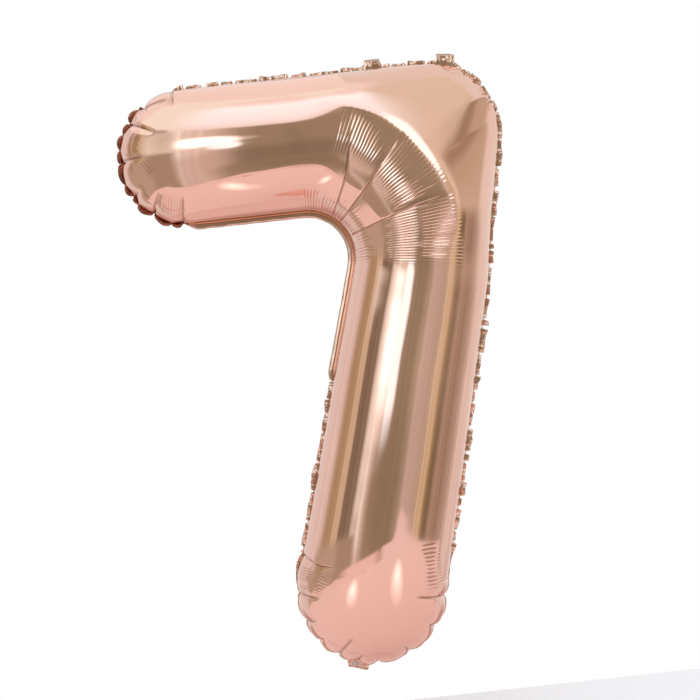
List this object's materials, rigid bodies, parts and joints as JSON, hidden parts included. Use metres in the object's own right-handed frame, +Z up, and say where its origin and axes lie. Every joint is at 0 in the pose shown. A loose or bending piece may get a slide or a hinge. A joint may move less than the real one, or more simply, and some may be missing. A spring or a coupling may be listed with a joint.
{
  "type": "foil number balloon",
  "caption": "Inflated foil balloon in the shape of a 7: two swollen panels, welded rim, folded filling tail, valve sleeve and hanging tabs.",
  "frame": {"origin": "on the fold of the filling tail at the neck under the foot, in the plane of the weld, where the balloon is tied", "axes": "+Z up the figure, +X to the right as the figure reads, the front faces -Y"},
  "size_m": [0.5612, 0.2258, 0.8727],
  "materials": {
    "foil": "mirror-bright rose-gold metallised film",
    "welded_foil": "crinkled rose-gold metallised film, heat-sealed",
    "valve_film": "thin milky polyethylene film"
  },
  "bodies": {
    "envelope": {"front_panel": "foil", "back_panel": "foil", "weld_border": "welded_foil", "valve_front_film": "valve_film", "valve_back_film": "valve_film"},
    "tail": {"tail_front_ply": "welded_foil", "tail_back_ply": "welded_foil"},
    "hang_tab_left": {"hang_tab_left": "welded_foil"},
    "hang_tab_right": {"hang_tab_right": "welded_foil"}
  },
  "joints": [
    {"name": "tail_fold", "type": "hinge", "parent": "envelope", "child": "tail", "pos_m": [0, 0, 0], "axis": [-0.9659, 0, 0.2588], "range_deg": [-20, 95]},
    {"name": "tab_left_fold", "type": "hinge", "parent": "envelope", "child": "hang_tab_left", "pos_m": [0.114, 0, 0.8681], "axis": [1, 0, 0], "range_deg": [-35, 100]},
    {"name": "tab_right_fold", "type": "hinge", "parent": "envelope", "child": "hang_tab_right", "pos_m": [0.21856, 0, 0.86486], "axis": [0.9941, 0, -0.1089], "range_deg": [-35, 100]}
  ]
}
